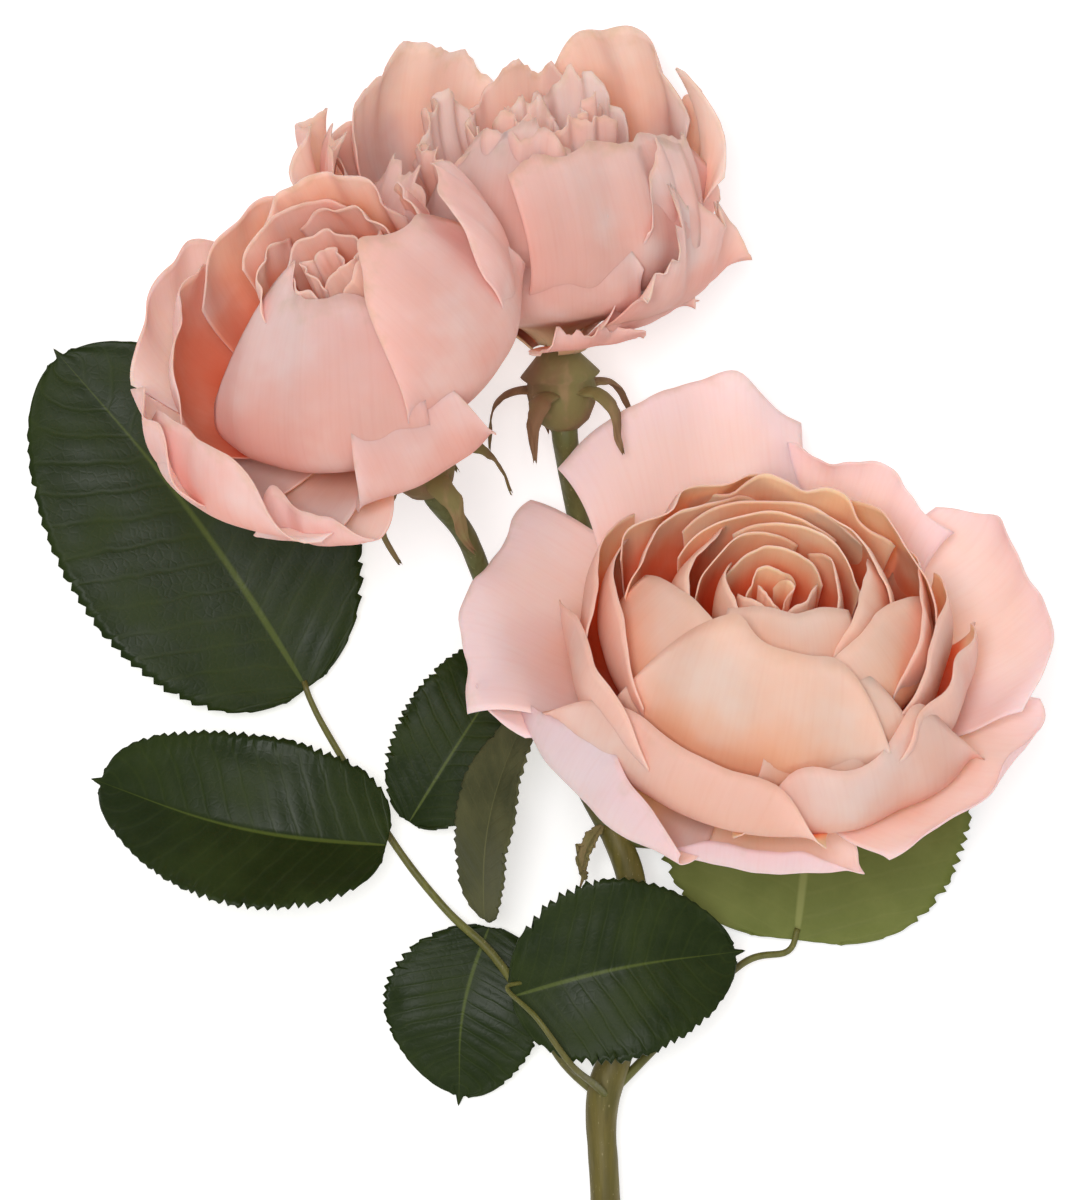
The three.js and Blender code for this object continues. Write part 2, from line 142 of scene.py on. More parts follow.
def plain_material(name, roughness=0.5, specular=0.4):
    """A material with its shader and output, ready for the nodes that vary its colour."""
    material = bpy.data.materials.new(name)
    material.use_nodes = True
    tree = material.node_tree
    tree.nodes.clear()
    shader = tree.nodes.new("ShaderNodeBsdfPrincipled")
    shader.inputs["Roughness"].default_value = roughness
    shader.inputs["Specular IOR Level"].default_value = specular
    output = tree.nodes.new("ShaderNodeOutputMaterial")
    tree.links.new(shader.outputs[0], output.inputs["Surface"])
    return material, tree, shader


def wire(tree, kind, inputs=None, **settings):
    """A node with its settings, whose inputs are given by name or number as values or as sockets to link."""
    node = tree.nodes.new("ShaderNode" + kind)
    for key, value in settings.items():
        setattr(node, key, value)
    for key, value in (inputs or {}).items():
        if isinstance(value, bpy.types.NodeSocket):
            tree.links.new(value, node.inputs[key])
        else:
            node.inputs[key].default_value = value
    return node


def mixed(tree, share, first, second):
    """The colour between first and second at the given share."""
    node = wire(tree, "Mix", data_type="RGBA")
    for socket, value in ((node.inputs[0], share), (node.inputs[6], first), (node.inputs[7], second)):
        if isinstance(value, bpy.types.NodeSocket):
            tree.links.new(value, socket)
        else:
            socket.default_value = value
    return node.outputs[2]


def ramped(tree, value, low, high, start=0.0, end=1.0):
    """The value brought smoothly from low..high to start..end."""
    inputs = {"Value": value, "From Min": low, "From Max": high, "To Min": start, "To Max": end}
    return wire(tree, "MapRange", inputs, interpolation_type="SMOOTHSTEP").outputs[0]


def speckle(tree, place, scale, stretch=(1, 1, 1), detail=3.0):
    """Noise from 0 to 1 on the given coordinates, stretched by the given scale along each axis."""
    mapped = wire(tree, "Mapping", {"Vector": place, "Scale": stretch}).outputs[0]
    return wire(tree, "TexNoise", {"Vector": mapped, "Scale": scale, "Detail": detail}).outputs[0]


def raised(tree, shader, height, distance, strength=1.0):
    """Feeds the height to the shader's normal as a bump of the given depth in millimetres."""
    bump = wire(tree, "Bump", {"Height": height, "Distance": distance * MM, "Strength": strength})
    tree.links.new(bump.outputs[0], shader.inputs["Normal"])


def bark_material(name, young, old, tint, streaks):
    """Bark that runs from young to old colour in long streaks, tinted in places, with fine pale pores."""
    material, tree, shader = plain_material(name, 0.55)
    place = wire(tree, "TexCoord").outputs["Object"]
    long = speckle(tree, place, 900, (1, 0.12, 1), 4)
    broad = speckle(tree, place, 60)
    pores = speckle(tree, place, 2600, (1, 0.5, 1), 2)
    color = mixed(tree, ramped(tree, long, 0.35, 0.7, 0, streaks), young, old)
    color = mixed(tree, ramped(tree, broad, 0.45, 0.75, 0, 0.55), color, tint)
    color = mixed(tree, ramped(tree, pores, 0.66, 0.74, 0, 0.5), color, BARK_PORE)
    tree.links.new(color, shader.inputs["Base Color"])
    tree.links.new(ramped(tree, long, 0.2, 0.8, 0.42, 0.68), shader.inputs["Roughness"])
    raised(tree, shader, long, 0.18)
    return material


def stem_radius(share):
    """The stem's radius along it, with two swellings and a slimmer part between the leaves and the fork."""
    swell = 0.3 * math.exp(-(((share - 0.7) / 0.035) ** 2)) + 0.2 * math.exp(-(((share - 0.3) / 0.03) ** 2))
    slim = 0.3 * math.exp(-(((share - 0.6) / 0.12) ** 2))
    return STEM_RADIUS_CUT + (STEM_RADIUS_FORK - STEM_RADIUS_CUT) * share + swell - slim


stem_bark = bark_material(
    "stem bark", (0.135, 0.11, 0.016, 1), (0.075, 0.066, 0.01, 1), (0.12, 0.07, 0.016, 1), 0.8
)
stem_mesh = bmesh.new()
grow_tube(stem_mesh, smooth_path(stem_points, 110), stem_radius, 20, CUT_SLANT)
finish_piece("stem", stem_mesh, [stem_bark], ["main_stem"])

# ---- Flower stalks ----
# Three thinner stalks that part at the fork, green with brown flushes. Each thickens a little and runs into
# the foot of its bloom's hip.
HIP_LENGTH = 8


class Bloom:
    """A bloom's own frame: its origin is the end of the hip, up is its axis and angle 0 is to the right."""

    def __init__(self, origin, axis):
        self.origin = Vector(origin)
        self.up = Vector(axis).normalized()
        self.right = (Vector((1, 0, 0)) - self.up * self.up.x).normalized()
        self.back = self.up.cross(self.right)

    def place(self, radius, height, angle):
        out = self.right * math.cos(angle) + self.back * math.sin(angle)
        return self.origin + self.up * height + out * radius


main_bloom = Bloom((28.2, -17.4, 16), (0.1, 0.68, 0.726))
left_bloom = Bloom((-16, 20, 29), (-0.33, 0.71, 0.62))
top_bloom = Bloom((3, 30, 16), (-0.08, 0.97, 0.22))
stalk_bark = bark_material(
    "stalk bark", (0.105, 0.11, 0.028, 1), (0.075, 0.07, 0.016, 1), (0.13, 0.075, 0.03, 1), 0.7
)
STALKS = [
    ("main", main_bloom, 1.5, [(19, -30.5, 7)]),
    ("left", left_bloom, 1.3, [(2, -16, 8), (-5, -2, 11), (-9, 8, 18)]),
    ("top", top_bloom, 1.4, [(9.4, -14, 6.5), (7.4, 2, 6), (5.2, 12, 7)]),
]
for key, bloom, radius, bends in STALKS:
    foot = bloom.place(0, 0.4 - HIP_LENGTH, 0)
    points = [fork - Vector((0, 1.5, 0)), *[Vector(bend) for bend in bends], foot - bloom.up * 2.5, foot]
    stalk_mesh = bmesh.new()
    grow_tube(stalk_mesh, smooth_path(points, 60), lambda share, r=radius: r * (1 + 0.25 * share**6), 14)
    finish_piece(f"stalk_{key}", stalk_mesh, [stalk_bark], [f"stalk_{key}_bloom"])

# ---- Leaf stalks ----
# Slender brownish green leaf stalks, which leave the stem near its node and carry the leaflets. Two lie close
# to the surface, and the third stands over the stem in a free arc.
PETIOLE_RADIUS = 0.66
petiole_skin = bark_material(
    "leaf stalk skin", (0.1, 0.1, 0.018, 1), (0.16, 0.16, 0.035, 1), (0.1, 0.065, 0.02, 1), 0.6
)
PETIOLES = [
    ("leaf_a", 1.0, [
        (8.6, -65, 4.4), (3.6, -60.4, 4.2), (-1, -53, 3.8), (-6, -46, 3.4), (-11.9, -40.4, 2.6),
        (-18.5, -32, 2.4), (-27, -18, 2.2), (-29.6, -13, 2), (-30.4, -10.6, 1.8),
    ]),
    ("leaf_b", 1.0, [
        (10, -64, 4.8), (18, -56, 3), (27, -47.5, 2.2), (32.8, -46, 1.4), (34.2, -43, 1.2),
    ]),
    ("leaf_b_side", 0.8, [
        (9, -64.5, 6), (7.6, -63, 10), (4.4, -60, 16.4), (0, -54, 17.8), (-3.8, -50.4, 14.2),
        (-1.6, -49.6, 12.2),
    ]),
]
for key, start, points in PETIOLES:
    petiole_mesh = bmesh.new()
    path = smooth_path([Vector(point) for point in points], 60)
    grow_tube(petiole_mesh, path, lambda share, s=start: PETIOLE_RADIUS * (s - 0.4 * share), 12)
    finish_piece(f"petiole_{key}", petiole_mesh, [petiole_skin], [f"{key}_petiole"])

# ---- Leaflets ----
# Seven rose leaflets: leathery, dark green and glossy above, paler and dull below, with a pale midrib, side
# veins that the blade quilts between, and a saw-toothed edge. Two of them lie with the underside up.
LEAF_THICKNESS = 0.35
LEAF_POINT = 1.4
LEAF_COLUMNS = 28
ROWS_PER_TOOTH = 6
SIDE_VEINS = 13
LEAF_FORM = {"fold": 0.15, "arch": 2.0, "blunt": 0.5, "teeth": 30, "wave": 0.5, "bend": 0.0}


def counted(tree, operation, first, second, third=0.0):
    """The result of one arithmetic node."""
    return wire(tree, "Math", {0: first, 1: second, 2: third}, operation=operation).outputs[0]


def leaf_material(name, deep, light, rib, roughness, specular):
    """Leaf skin: deep green, mottled and softly glossy, with faint side veins and a pale midrib."""
    material, tree, shader = plain_material(name, roughness, specular)
    flat = wire(tree, "UVMap", uv_map="blade").outputs[0]
    split = wire(tree, "SeparateXYZ", {0: flat})
    place = wire(tree, "TexCoord").outputs["Object"]
    across = counted(tree, "ABSOLUTE", counted(tree, "SUBTRACT", split.outputs[0], 0.5), 0.0)
    slope = counted(tree, "MULTIPLY_ADD", across, -0.34, split.outputs[1])
    wobble = counted(tree, "MULTIPLY_ADD", speckle(tree, place, 220), 0.035, slope)
    cycle = counted(tree, "PINGPONG", counted(tree, "MULTIPLY", wobble, SIDE_VEINS), 0.5)
    veins = ramped(tree, cycle, 0.0, 0.14, 1, 0)
    net = wire(tree, "TexVoronoi", {"Vector": place, "Scale": 900.0}, feature="DISTANCE_TO_EDGE").outputs[0]
    cells = ramped(tree, net, 0.0, 0.2, 0.35, 0)
    midrib = ramped(tree, counted(tree, "MULTIPLY_ADD", split.outputs[1], 0.016, across), 0.009, 0.023, 1, 0)
    mottle = speckle(tree, place, 130)
    color = mixed(tree, ramped(tree, mottle, 0.35, 0.7), deep, light)
    for mask, amount in ((veins, 0.07), (cells, 0.07), (midrib, 0.85)):
        color = mixed(tree, counted(tree, "MULTIPLY", mask, amount), color, rib)
    tree.links.new(color, shader.inputs["Base Color"])
    gloss = ramped(tree, mottle, 0.3, 0.7, roughness - 0.06, roughness + 0.1)
    tree.links.new(gloss, shader.inputs["Roughness"])
    raised(tree, shader, counted(tree, "SUBTRACT", 1.0, counted(tree, "MAXIMUM", veins, cells)), 0.06, 0.35)
    return material


def leaflet_mesh(base, tip, face, width, seed=0.0, **values):
    """A leaflet from base to tip whose first side looks towards face. fold raises its edges and arch its
    middle, blunt sets how full its outline is, wave ripples it and bend bows its midrib to the side."""
    form = {**LEAF_FORM, **values}
    arch, teeth = form["arch"], form["teeth"]
    base, tip, face = Vector(base), Vector(tip), Vector(face)
    length = (tip - base).length
    ahead = (tip - base).normalized()
    side = -ahead.cross(face).normalized()
    normal = ahead.cross(side)
    bm = bmesh.new()
    bmesh.ops.create_grid(bm, x_segments=LEAF_COLUMNS, y_segments=ROWS_PER_TOOTH * teeth, size=1)
    blade = bm.loops.layers.uv.new("blade")
    for quad in bm.faces:
        for loop in quad.loops:
            loop[blade].uv = (0.5 * (loop.vert.co.x + 1), 0.5 * (loop.vert.co.y + 1))
    for vert in bm.verts:
        u, v = vert.co.x, 0.5 * (vert.co.y + 1)
        half = 0.5 * width * math.sin(math.pi * min(max(v, 0.004), 0.996) ** 0.85) ** form["blunt"]
        point = math.exp(-((u / 0.14) ** 2)) * max(0.0, (v - 0.8) / 0.2) ** 2
        tooth = (v * teeth) % 1.0
        size = 1.0 + 1.2 * noise.noise(Vector((0.8 * v * teeth, u, seed)))
        bite = size * (1.15 * (1 - tooth) - 0.2) * abs(u) ** 6 * min(1.0, 6 * v, 8 * (1.02 - v))
        wavy = form["wave"] * abs(u) ** 2 * noise.noise(Vector((3 * u + seed, 5 * v, seed)))
        quilt = 0.09 * abs(math.sin(math.pi * SIDE_VEINS * (v - 0.17 * abs(u))))
        quilt *= (1 - abs(u) ** 4) * min(1, 6 * abs(u))
        rise = form["fold"] * abs(u) * half + arch * math.sin(math.pi * v) - arch * v * v + wavy + quilt
        outer = u * (half - 0.6 * bite) + form["bend"] * math.sin(math.pi * v)
        onward = v * (length - LEAF_POINT) + LEAF_POINT * point + 0.4 * bite
        place = base + ahead * onward + side * outer + normal * rise
        vert.co = zero + place * MM
    bm.normal_update()
    if sum(quad.normal.dot(normal) for quad in bm.faces) < 0:
        bmesh.ops.reverse_faces(bm, faces=bm.faces)
    return bm


leaf_top = leaf_material(
    "leaf top", (0.011, 0.021, 0.003, 1), (0.02, 0.033, 0.005, 1), (0.07, 0.095, 0.015, 1), 0.42, 0.14
)
leaf_under = leaf_material(
    "leaf underside", (0.125, 0.15, 0.03, 1), (0.165, 0.19, 0.05, 1), (0.24, 0.26, 0.08, 1), 0.62, 0.2
)
leaf_dull = leaf_material(
    "leaf dull side", (0.055, 0.058, 0.022, 1), (0.09, 0.09, 0.036, 1), (0.13, 0.13, 0.05, 1), 0.6, 0.2
)
LEAFLETS = [
    ("leaf_a_end", (-30.1, -11.6, 1.6), (-63.2, 33, 1.3), (0.1, 0, 1), 38,
     {"arch": 1.2, "fold": 0.04, "bend": -1.5}),
    ("leaf_a_lower", (-19.6, -32, 7.2), (-58, -22.6, 6), (0, 0.45, 1), 24.5,
     {"fold": 0.3, "bend": 3.2, "blunt": 0.42}),
    ("leaf_a_inner", (-16.6, -29, 3.4), (0, -3, 2.4), (-0.1, 0, 1), 17, {}),
    ("leaf_a_base_left", (-6.2, -42.8, 1.4), (-10.2, -66.2, 1.8), (0, 0, 1), 21.6,
     {"arch": 1.2, "fold": 0.04, "bend": -1.5, "teeth": 20}),
    ("leaf_a_base_right", (-6.6, -41.6, 7.6), (-2.4, -13, 14.5), (-1.6, 0, 1), 14, {"teeth": 22}),
    ("leaf_b_side", (-3.2, -51.5, 12), (27.2, -45.6, 11), (0, 0, 1), 24, {"teeth": 24, "bend": 1}),
    ("leaf_b_end", (34, -44.5, 0.8), (39, 0, 1.2), (0, 0, 1), 42, {"arch": 1.2, "fold": 0.04, "blunt": 0.36}),
]
LEAF_SIDES = {"leaf_b_end": [leaf_under, leaf_top], "leaf_a_base_right": [leaf_dull, leaf_top]}
for number, (node, base, tip, face, width, form) in enumerate(LEAFLETS):
    sides = LEAF_SIDES.get(node, [leaf_top, leaf_under])
    bm = leaflet_mesh(base, tip, face, width, seed=7.3 * number, **form)
    finish_piece(node.replace("leaf_", "leaflet_"), bm, sides, [node], LEAF_THICKNESS)

# ---- Hips, sepals and bract ----
# Under each bloom a small green hip with five narrow sepals that have dried olive brown, grown as one piece,
# and at the fork one withered bract.
HIP_RADIUS = 4.6
CONE_HEIGHT = 4.4
CONE_RADIUS = 5.2
HIP_FACETS = 24
SEPALS = 5
SEPAL_WIDTH = 4.4
SEPAL_THICKNESS = 0.35
SEPAL_STREAK = (0.32, 0.2, 0.11, 1)
BRACT_THICKNESS = 0.3


def cubic(a, b, c, d, t):
    """The value at t on a smooth curve from a to d that b and c pull on."""
    s = 1 - t
    return s * s * s * a + 3 * s * s * t * b + 3 * s * t * t * c + t * t * t * d


def sepal_material(name, green, brown):
    """Downy sepal skin: patches of green and of dried brown, with paler brown streaks."""
    material, tree, shader = plain_material(name, 0.75, 0.2)
    place = wire(tree, "TexCoord").outputs["Object"]
    long = speckle(tree, place, 500, (1, 0.3, 1), 4)
    broad = speckle(tree, place, 110)
    color = mixed(tree, ramped(tree, broad, 0.38, 0.62), green, brown)
    color = mixed(tree, ramped(tree, long, 0.5, 0.75, 0, 0.6), color, SEPAL_STREAK)
    tree.links.new(color, shader.inputs["Base Color"])
    raised(tree, shader, long, 0.25)
    return material


def calyx_mesh(bloom, turn, out, rise, tip_radius, tip_height, seed):
    """The hip, spun from its profile, with five sepals that each bend to their own tip."""
    bm = bmesh.new()
    profile = [
        (0, -HIP_LENGTH), (0.42 * HIP_RADIUS, -HIP_LENGTH), (0.72 * HIP_RADIUS, -0.86 * HIP_LENGTH),
        (0.92 * HIP_RADIUS, -0.62 * HIP_LENGTH), (HIP_RADIUS, -0.34 * HIP_LENGTH),
        (0.94 * HIP_RADIUS, -1.6), (CONE_RADIUS, -0.8), (0.9, CONE_HEIGHT - 0.4), (0, CONE_HEIGHT - 0.4),
    ]
    corners = [bm.verts.new((radius, 0, height)) for radius, height in profile]
    edges = [bm.edges.new(pair) for pair in zip(corners, corners[1:])]
    around = {"cent": (0, 0, 0), "axis": (0, 0, 1), "angle": 2 * math.pi, "steps": HIP_FACETS}
    bmesh.ops.spin(bm, geom=corners + edges, use_merge=True, **around)
    bmesh.ops.remove_doubles(bm, verts=bm.verts, dist=1e-4)
    bmesh.ops.recalc_face_normals(bm, faces=bm.faces)
    for vert in bm.verts:
        x, y, height = vert.co
        vert.co = zero + bloom.place(math.hypot(x, y), height, math.atan2(y, x)) * MM
    for k in range(SEPALS):
        angle = math.radians(360 / SEPALS * k + turn)
        strip = bmesh.ops.create_grid(bm, x_segments=8, y_segments=30, size=1)["verts"]
        for vert in strip:
            u, v = vert.co.x, 0.5 * (vert.co.y + 1)
            radius = cubic(0.6 * HIP_RADIUS, CONE_RADIUS + 1.5, out, tip_radius, v)
            height = cubic(-2.2, -1.8, rise, tip_height, v)
            half = 0.5 * SEPAL_WIDTH * (1 - v) ** 0.8 + 0.2
            half *= 1 + 0.35 * noise.noise(Vector((seed + k, 9 * v, 2.0 * (u > 0))))
            sway = 0.25 * v * v * noise.noise(Vector((seed, k, 3 * v)))
            wrinkle = 0.5 * v * noise.noise(Vector((2 * u, 6 * v, seed + k)))
            turned = angle + u * half / max(radius, 2.5) + sway
            vert.co = zero + bloom.place(radius + wrinkle, height - 0.7 * u * u, turned) * MM
        faces = list({face for vert in strip for face in vert.link_faces})
        bmesh.ops.solidify(bm, geom=faces, thickness=SEPAL_THICKNESS * MM)
    return bm


fresh_sepal = sepal_material("green sepal", (0.16, 0.17, 0.055, 1), (0.22, 0.15, 0.06, 1))
dry_sepal = sepal_material("dried sepal", (0.2, 0.17, 0.065, 1), (0.21, 0.115, 0.06, 1))
CALYXES = [
    ("main", main_bloom, fresh_sepal, 20, 9, -3, 7, -11),
    ("left", left_bloom, dry_sepal, 8, 10, -2, 9, -13),
    ("top", top_bloom, dry_sepal, 30, 10, -2, 10, -10),
]
for key, bloom, skin, turn, out, rise, tip_radius, tip_height in CALYXES:
    bm = calyx_mesh(bloom, turn, out, rise, tip_radius, tip_height, 3.1 * turn)
    finish_piece(f"hip_{key}", bm, [skin], [f"{key}_calyx"])

bract_base = fork + Vector((-1, -0.4, 1.2))
bract_form = {"fold": 0.5, "arch": 1.0, "teeth": 8, "wave": 1.0}
bract_blade = leaflet_mesh(bract_base, bract_base + Vector((-3.6, -8, -1.6)), (-1, 0, 1), 2.6, **bract_form)
finish_piece("bract_blade", bract_blade, [dry_sepal], ["bract"], BRACT_THICKNESS)

# ---- Main bloom, inner petals ----
# The heart, ball and cup of the open bloom: soft peach petals, each cupped round the ones inside it, with
# rolled rims. Every petal stands on its claw on the hip's cone, and its inner face is a deeper colour, which
# down towards the claw is partly painted shade for the deep slits between the petals.
CLAW_STEP = 0.22
PETAL_THICKNESS = 0.18
PETAL_BLOOM = (1, 0.93, 0.88, 1)
PETAL_VEIN = (0.93, 0.76, 0.72, 1)
DRIED_EDGE = (0.5, 0.35, 0.18, 1)


def petal_skin_group():
    """Petal colour from claw to rim, partly the petal's own colour and partly painted light: the deep colour
    at the claw is painted shade for the crevices between petals and the pale rim a painted highlight. It also
    has fine lengthwise veins, soft mottling and a dried edge.
    """
    group = bpy.data.node_groups.new("petal skin", "ShaderNodeTree")
    sockets = [("Throat and shade", "NodeSocketColor"), ("Body", "NodeSocketColor"), ("Rim and light", "NodeSocketColor"),
               ("Reach", "NodeSocketFloat"), ("Dry", "NodeSocketFloat"), ("Mottle", "NodeSocketFloat")]
    for name, kind in sockets:
        group.interface.new_socket(name=name, in_out="INPUT", socket_type=kind)
    results = [("Color", "NodeSocketColor"), ("Roughness", "NodeSocketFloat"), ("Height", "NodeSocketFloat")]
    for name, kind in results:
        group.interface.new_socket(name=name, in_out="OUTPUT", socket_type=kind)
    given = group.nodes.new("NodeGroupInput")
    result = group.nodes.new("NodeGroupOutput")
    flat = wire(group, "UVMap", uv_map="blade").outputs[0]
    along = wire(group, "SeparateXYZ", {0: flat}).outputs[1]
    place = wire(group, "TexCoord").outputs["Object"]
    broad = speckle(group, place, 90)
    fine = speckle(group, flat, 1.0, (60, 4, 1), 4)
    uneven = counted(group, "MULTIPLY_ADD", broad, 0.3, along)
    beyond = counted(group, "SUBTRACT", uneven, given.outputs["Reach"])
    # Deep colour from the claw up to Reach: partly the petal's own deeper base, partly painted shade for the
    # crevices between petals.
    color = mixed(group, ramped(group, beyond, -0.2, 0.4), given.outputs["Throat and shade"], given.outputs["Body"])
    # Pale colour towards the rim: partly the petal's own paler edge, partly painted highlight on the rims.
    color = mixed(group, ramped(group, uneven, 0.88, 1.18), color, given.outputs["Rim and light"])
    pale = mixed(group, 0.35, color, PETAL_BLOOM)
    strong = ramped(group, broad, 0.45, 0.75)
    mottled = counted(group, "MULTIPLY", strong, given.outputs["Mottle"])
    color = mixed(group, mottled, color, pale)
    deeper = wire(group, "Mix", data_type="RGBA", blend_type="MULTIPLY")
    group.links.new(ramped(group, fine, 0.4, 0.8, 0, 0.2), deeper.inputs[0])
    group.links.new(color, deeper.inputs[6])
    deeper.inputs[7].default_value = PETAL_VEIN
    rough_edge = speckle(group, place, 420)
    edge = counted(group, "MULTIPLY_ADD", rough_edge, 0.16, along)
    amount = counted(group, "MULTIPLY", ramped(group, edge, 1.04, 1.12), given.outputs["Dry"])
    color = mixed(group, amount, deeper.outputs[2], DRIED_EDGE)
    group.links.new(color, result.inputs["Color"])
    group.links.new(ramped(group, fine, 0.2, 0.8, 0.52, 0.66), result.inputs["Roughness"])
    group.links.new(fine, result.inputs["Height"])
    return group


petal_skin = petal_skin_group()


def petal_face(name, throat_and_shade, body, rim, reach, dry, mottle):
    """One side of a petal: its colours at the claw, the middle and the rim, how far up the claw's colour
    reaches, how dried its edge is and how mottled it is. The claw's colour is partly the petal's own deeper
    base and partly painted shade for the crevices between petals. The rim's colour is partly a paler edge and
    partly painted highlight."""
    material, tree, shader = plain_material(name, 0.6, 0.1)
    skin = tree.nodes.new("ShaderNodeGroup")
    skin.node_tree = petal_skin
    values = {"Throat and shade": throat_and_shade, "Body": body, "Rim and light": rim, "Reach": reach, "Dry": dry, "Mottle": mottle}
    for key, value in values.items():
        skin.inputs[key].default_value = value
    tree.links.new(skin.outputs["Color"], shader.inputs["Base Color"])
    tree.links.new(skin.outputs["Roughness"], shader.inputs["Roughness"])
    raised(tree, shader, skin.outputs["Height"], 0.03, 0.4)
    shader.inputs["Subsurface Weight"].default_value = 0.45
    shader.inputs["Subsurface Radius"].default_value = (1.0, 0.45, 0.3)
    shader.inputs["Subsurface Scale"].default_value = 0.002
    return material


PETAL_FORM = {
    "lap": 0.5, "round": 0.2, "corner": 2.5, "lean": 35, "wrap": 1.45, "roll": 0.0, "ruffle": 0.0, "waves": 3,
    "crinkle": 0.4, "tip": 0.0, "tip_at": 0.0, "ragged": 0.0, "edge": 0.0, "columns": 36, "rows": 36,
}


def belly_pull(claw, knee, belly, rim):
    """The third value that cubic needs for its curve to pass through the belly at three fifths of the way."""
    return (belly - 0.064 * claw - 0.288 * knee - 0.216 * rim) / 0.432


def petal_mesh(bloom, level, angle, seed, **values):
    """One petal, from its claw on the cone through its belly to its rim. round takes off its corners, roll
    turns the rim outwards and edge its sides, ruffle waves the rim, crinkle dents the petal, tip draws the
    rim out to a point at tip_at, ragged tears it, and lap lifts one side over the next petal."""
    form = {**PETAL_FORM, **values}
    lean = math.radians(form["lean"])
    reach = 0.42 * form["belly"] + 3
    claw_radius = 1.1 + CLAW_STEP * level
    claw_height = CONE_HEIGHT + 0.6 - CLAW_STEP * level
    knee_radius = claw_radius + reach * math.cos(lean)
    knee_height = claw_height + reach * math.sin(lean)
    belly = belly_pull(claw_radius, knee_radius, form["belly"], form["rim"])
    swell = belly_pull(claw_height, knee_height, form["belly_height"], form["top"])
    bm = bmesh.new()
    bmesh.ops.create_grid(bm, x_segments=form["columns"], y_segments=form["rows"], size=1)
    blade = bm.loops.layers.uv.new("blade")
    for quad in bm.faces:
        for loop in quad.loops:
            loop[blade].uv = (0.5 * (loop.vert.co.x + 1), 0.5 * (loop.vert.co.y + 1))
    for vert in bm.verts:
        u, v = vert.co.x, 0.5 * (vert.co.y + 1)
        outline = 1 - form["round"] * abs(u) ** form["corner"] * v
        outline += v**3 * form["tip"] * math.exp(-(((u - form["tip_at"]) / 0.2) ** 2))
        outline += v**4 * form["ragged"] * noise.noise(Vector((4 * u, seed, 0.5)))
        outline += v**4 * 0.4 * form["ragged"] * noise.noise(Vector((13 * u, seed, 3.5)))
        along = v * outline
        radius = cubic(claw_radius, knee_radius, belly, form["rim"], along)
        height = cubic(claw_height, knee_height, swell, form["top"], along)
        spread = 0.13 + 0.87 * math.sin(0.5 * math.pi * min(along / 0.62, 1)) ** 1.6
        wrap = form["wrap"]
        turned = angle + u * wrap * math.tanh(form["width"] * spread / max(radius, 0.6) / wrap)
        lip = max(0.0, (v - 0.72) / 0.28)
        radius += form["lap"] * u * along + form["roll"] * lip * lip + form["edge"] * abs(u) ** 5 * v
        height -= 0.6 * form["roll"] * lip**3
        beat = math.sin(math.pi * form["waves"] * u + seed)
        radius += form["ruffle"] * v**4 * (0.7 * beat + 0.5 * noise.noise(Vector((5 * u, 2 * v, seed))))
        height += 0.4 * form["ruffle"] * v**4 * math.cos(math.pi * form["waves"] * u + 1.7 * seed)
        dent = noise.noise(Vector((1.4 * u + seed, 2.0 * v, seed)))
        dent += 0.3 * noise.noise(Vector((4 * u, 5 * v, seed)))
        radius += form["crinkle"] * v * (1 - 0.4 * v) * dent
        vert.co = zero + bloom.place(radius, height, turned) * MM
    return bm


def set_petals(group, bloom, faces, slot, petals, first=1, **shared):
    """Sets petals one by one. Each is given by the number of the node it stands for or 0, how far down the
    cone it stands, its direction in degrees and its own form."""
    for k, (number, level, degrees, form) in enumerate(petals, first):
        bm = petal_mesh(bloom, level, math.radians(degrees), 2.1 * k + 0.7, **{**shared, **form})
        stands_for = [f"{group}_{number:02d}"] if number else []
        finish_piece(f"petal_{group}_{k}", bm, faces, stands_for, PETAL_THICKNESS)


def sized(belly, belly_height, rim, top, width, **more):
    """A petal's form: the radius and height of its belly and of its rim, its half width and whatever else."""
    return {"belly": belly, "belly_height": belly_height, "rim": rim, "top": top, "width": width, **more}


# In every petal face below, the first colour, at the claw, is partly painted shade for the crevices between
# petals, and the last, at the rim, is partly painted highlight.
peach_outside = petal_face(
    "peach petal outside", (0.95, 0.32, 0.15, 1), (0.98, 0.4, 0.26, 1), (0.98, 0.56, 0.45, 1), 0.68, 0.1, 0.3
)
peach_inside = petal_face(
    "peach petal inside", (0.88, 0.1, 0.03, 1), (0.98, 0.48, 0.26, 1), (0.98, 0.64, 0.43, 1), 0.9, 0.1, 0.3
)
rose_outside = petal_face(
    "rose petal outside", (0.9, 0.4, 0.25, 1), (0.9, 0.43, 0.33, 1), (0.92, 0.5, 0.42, 1), 0.5, 0.15, 0.5
)
peach_faces = [peach_outside, peach_inside]
set_petals("main_heart", main_bloom, peach_faces, "main_inner_petals", [
    (1, 0, 23, sized(1.6, 18, 0.9, 28.6, 3)),
    (0, 0.5, 215, sized(2.4, 18, 1.8, 28.8, 4)),
    (2, 1, 118, sized(3.2, 18, 2.5, 29.0, 5)),
    (0, 1.5, 330, sized(4.4, 18, 3.4, 29.0, 6)),
    (0, 1.8, 236, sized(5.2, 18, 4.2, 29.0, 7)),
    (3, 2, 92, sized(6.0, 18, 5.2, 29.6, 9)),
    (0, 2.4, 190, sized(7.4, 18, 6.2, 29.6, 9)),
    (0, 2.7, 12, sized(8.0, 18, 6.8, 29.6, 9)),
    (4, 3, 276, sized(13.2, 20, 5.2, 30.2, 10.5, round=0.05)),
    (0, 3.2, 130, sized(8.8, 18, 7.8, 30.2, 11)),
], wrap=1.5, round=0.12, ruffle=0.3, roll=0.7, crinkle=0.8, lap=0.5, lean=82, waves=2)
